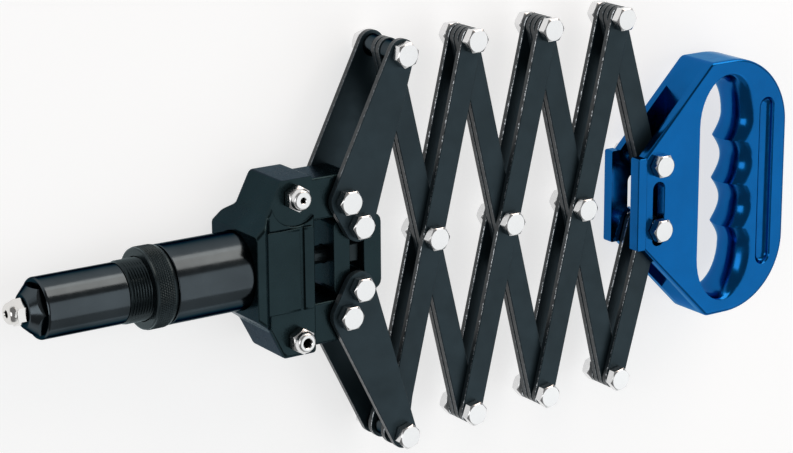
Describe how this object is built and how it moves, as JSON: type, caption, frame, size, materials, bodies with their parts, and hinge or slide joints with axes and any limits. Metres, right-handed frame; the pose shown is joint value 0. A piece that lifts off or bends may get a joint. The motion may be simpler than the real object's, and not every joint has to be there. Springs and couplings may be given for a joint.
{
  "type": "lazy tong riveter",
  "caption": "Hand tool for blind rivets: a black head with a nose and spare nosepieces, lazy tongs of flat links that fold, and a blue D handle with finger grooves",
  "frame": {"origin": "centre of the bounding box in X and Y, on the plane that the tool lies on", "axes": "+X from the nose to the handle, +Y across the tongs, +Z along the pivot bolts from their nuts to their heads"},
  "size_m": [0.4022, 0.184, 0.0413],
  "materials": {
    "black_casting": "satin black over a cast surface",
    "gloss_black": "gloss black",
    "bright_zinc": "bright zinc plate",
    "satin_black": "blackened steel",
    "black_plate": "satin black with a sheared bright edge",
    "blue_enamel": "gloss metallic blue"
  },
  "bodies": {
    "head": {"head_casting": "black_casting", "main_barrel": "gloss_black", "threaded_sleeve": "gloss_black", "nose_housing": "gloss_black", "nosepiece": "bright_zinc", "spare_nosepiece_upper": "bright_zinc", "spare_nosepiece_lower": "bright_zinc", "arm_pivot_bolt_upper": "bright_zinc", "arm_pivot_bolt_lower": "bright_zinc"},
    "lock_ring": {"lock_ring": "satin_black"},
    "upper_arm": {"upper_arm_front": "black_plate", "upper_arm_rear": "black_plate", "upper_arm_tip_bolt": "bright_zinc", "upper_arm_lever_bolt": "bright_zinc", "upper_tip_bush_front": "gloss_black", "upper_tip_bush_rear": "gloss_black"},
    "lower_arm": {"lower_arm_front": "black_plate", "lower_arm_rear": "black_plate", "lower_arm_tip_bolt": "bright_zinc", "lower_arm_lever_bolt": "bright_zinc", "lower_tip_bush_front": "gloss_black", "lower_tip_bush_rear": "gloss_black", "lower_tip_bush_middle": "gloss_black"},
    "draw_gear": {"crosshead": "black_casting", "draw_rod": "satin_black", "draw_nut": "satin_black", "jaw_case": "satin_black", "jaw_upper": "satin_black", "jaw_lower": "satin_black", "jaw_pusher": "satin_black", "jaw_spring": "bright_zinc"},
    "inner_link_1": {"inner_link_1_front": "black_plate", "inner_link_1_rear": "black_plate", "centre_bolt_1": "bright_zinc", "lower_bolt_2": "bright_zinc"},
    "outer_link_1": {"outer_link_1_front": "black_plate", "outer_link_1_rear": "black_plate", "upper_bolt_2": "bright_zinc"},
    "inner_link_2": {"inner_link_2_front": "black_plate", "inner_link_2_rear": "black_plate", "centre_bolt_2": "bright_zinc", "lower_bolt_3": "bright_zinc"},
    "outer_link_2": {"outer_link_2_front": "black_plate", "outer_link_2_rear": "black_plate", "upper_bolt_3": "bright_zinc"},
    "inner_link_3": {"inner_link_3_front": "black_plate", "inner_link_3_rear": "black_plate", "centre_bolt_3": "bright_zinc", "lower_bolt_4": "bright_zinc"},
    "outer_link_3": {"outer_link_3_front": "black_plate", "outer_link_3_rear": "black_plate", "upper_bolt_4": "bright_zinc"},
    "inner_link_4": {"inner_link_4_front": "black_plate", "inner_link_4_rear": "black_plate"},
    "outer_link_4": {"outer_link_4_front": "black_plate", "outer_link_4_rear": "black_plate", "handle_bolt_lower": "bright_zinc", "handle_bush": "bright_zinc"},
    "handle": {"handle": "blue_enamel", "handle_bolt_upper": "bright_zinc"}
  },
  "joints": [
    {"name": "fold", "type": "hinge", "parent": "head", "child": "upper_arm", "pos_m": [-0.04808, 0.0255, 0.0202], "axis": [0, 0, 1], "range_deg": [-48, 2.5]},
    {"name": "lower_arm_fold", "type": "hinge", "parent": "head", "child": "lower_arm", "pos_m": [-0.04808, -0.0255, 0.0202], "axis": [0, 0, 1], "range_deg": [-2.52, 48.02]},
    {"name": "draw", "type": "slide", "parent": "head", "child": "draw_gear", "axis": [1, 0, 0], "range_m": [-0.01065, 0.00057]},
    {"name": "lock_ring_turn", "type": "hinge", "parent": "head", "child": "lock_ring", "pos_m": [-0.14158, 0, 0.0202], "axis": [1, 0, 0], "continuous": true},
    {"name": "inner_link_1_fold", "type": "hinge", "parent": "upper_arm", "child": "inner_link_1", "pos_m": [-0.01928, 0.08557, 0.0202], "axis": [0, 0, 1], "range_deg": [-4.97, 95.09]},
    {"name": "outer_link_1_fold", "type": "hinge", "parent": "inner_link_1", "child": "outer_link_1", "pos_m": [0.00126, 0, 0.0202], "axis": [0, 0, 1], "range_deg": [-94.16, 4.92]},
    {"name": "inner_link_2_fold", "type": "hinge", "parent": "outer_link_1", "child": "inner_link_2", "pos_m": [0.02181, 0.08557, 0.0202], "axis": [0, 0, 1], "range_deg": [-4.92, 94.16]},
    {"name": "outer_link_2_fold", "type": "hinge", "parent": "inner_link_2", "child": "outer_link_2", "pos_m": [0.04235, 0, 0.0202], "axis": [0, 0, 1], "range_deg": [-94.16, 4.92]},
    {"name": "inner_link_3_fold", "type": "hinge", "parent": "outer_link_2", "child": "inner_link_3", "pos_m": [0.06289, 0.08557, 0.0202], "axis": [0, 0, 1], "range_deg": [-4.92, 94.16]},
    {"name": "outer_link_3_fold", "type": "hinge", "parent": "inner_link_3", "child": "outer_link_3", "pos_m": [0.08344, 0, 0.0202], "axis": [0, 0, 1], "range_deg": [-94.16, 4.92]},
    {"name": "inner_link_4_fold", "type": "hinge", "parent": "outer_link_3", "child": "inner_link_4", "pos_m": [0.10398, 0.08557, 0.0202], "axis": [0, 0, 1], "range_deg": [-4.97, 95.09]},
    {"name": "outer_link_4_fold", "type": "hinge", "parent": "inner_link_3", "child": "outer_link_4", "pos_m": [0.10398, -0.08557, 0.0202], "axis": [0, 0, 1], "range_deg": [-95.09, 4.97]},
    {"name": "handle_fold", "type": "hinge", "parent": "inner_link_4", "child": "handle", "pos_m": [0.12378, 0.0154, 0.0202], "axis": [0, 0, 1], "range_deg": [-48.02, 2.52]}
  ],
  "couplings": [
    {"joint": "lower_arm_fold", "follows": "fold", "ratio": -1},
    {"joint": "draw", "follows": "fold", "m_per_rad": 0.01269},
    {"joint": "inner_link_1_fold", "follows": "fold", "ratio": -1.9806},
    {"joint": "outer_link_1_fold", "follows": "fold", "ratio": 1.9612},
    {"joint": "inner_link_2_fold", "follows": "fold", "ratio": -1.9612},
    {"joint": "outer_link_2_fold", "follows": "fold", "ratio": 1.9612},
    {"joint": "inner_link_3_fold", "follows": "fold", "ratio": -1.9612},
    {"joint": "outer_link_3_fold", "follows": "fold", "ratio": 1.9612},
    {"joint": "inner_link_4_fold", "follows": "fold", "ratio": -1.9806},
    {"joint": "outer_link_4_fold", "follows": "fold", "ratio": 1.9806},
    {"joint": "handle_fold", "follows": "fold", "ratio": 1}
  ]
}
